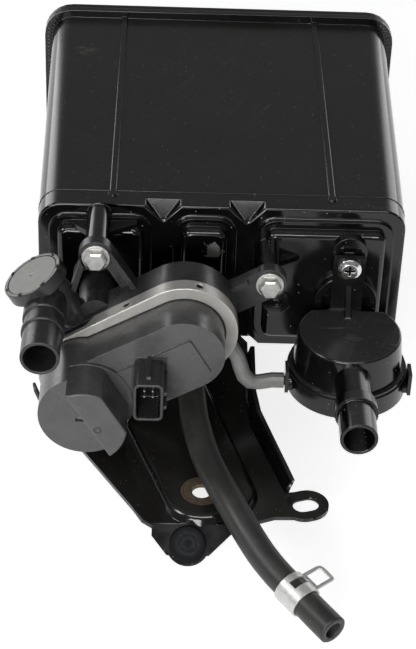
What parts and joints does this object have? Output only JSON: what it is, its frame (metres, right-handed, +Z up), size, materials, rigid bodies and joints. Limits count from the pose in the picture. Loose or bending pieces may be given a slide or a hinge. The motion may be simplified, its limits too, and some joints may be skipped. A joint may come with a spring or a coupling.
{
  "type": "charcoal canister",
  "caption": "Fuel vapour charcoal canister: a drafted black carbon case with a leak-check pump, a vent filter, a purge hose with a spring clamp and a stamped steel bracket.",
  "frame": {"origin": "centre of the bracket's bolt hole, on the top face of its raised panel", "axes": "+Z up, so that the hole's bolt leaves along -Z; -Y towards the end with the ports, as the picture looks; +X to the right"},
  "size_m": [0.2096, 0.4142, 0.1127],
  "materials": {
    "case_plastic": "gloss",
    "carbon": "matte",
    "felt": "matte",
    "plate_plastic": "matte",
    "spring_steel": "satin",
    "brass": "satin",
    "pump_plastic": "matte",
    "seal_rubber": "matte",
    "band_steel": "satin",
    "board": "satin",
    "zinc_steel": "satin",
    "disc_plastic": "matte",
    "vent_plastic": "gloss",
    "link_rubber": "satin",
    "bracket_paint": "gloss",
    "bumper_rubber": "matte",
    "hose_rubber": "matte"
  },
  "bodies": {
    "root": {"case": "case_plastic", "rear_cover": "case_plastic", "carbon_bed_left": "carbon", "carbon_bed_centre": "carbon", "carbon_bed_right": "carbon", "front_pad_left": "felt", "front_pad_centre": "felt", "front_pad_right": "felt", "rear_pad_left": "felt", "rear_pad_centre": "felt", "rear_pad_right": "felt", "retainer_plate_left": "plate_plastic", "retainer_plate_centre": "plate_plastic", "retainer_plate_right": "plate_plastic", "bed_springs_left": "spring_steel", "bed_spring_centre": "spring_steel", "bed_springs_right": "spring_steel", "boss_inserts": "brass", "pump_base": "pump_plastic", "pump_gasket": "seal_rubber", "pump_band": "band_steel", "pump_cap": "pump_plastic", "connector_pins": "brass", "circuit_board": "board", "pump_motor": "band_steel", "vent_solenoid": "zinc_steel", "port_disc": "disc_plastic", "pump_seal": "seal_rubber", "pump_bolts": "zinc_steel", "vent_housing": "vent_plastic", "vent_cover": "vent_plastic", "vent_filter": "felt", "vent_seal": "seal_rubber", "vent_screw": "zinc_steel", "link_hose": "link_rubber", "bracket": "bracket_paint", "bracket_bolts": "zinc_steel", "bumper": "bumper_rubber", "purge_hose": "hose_rubber", "hose_clamp": "zinc_steel"}
  },
  "joints": []
}
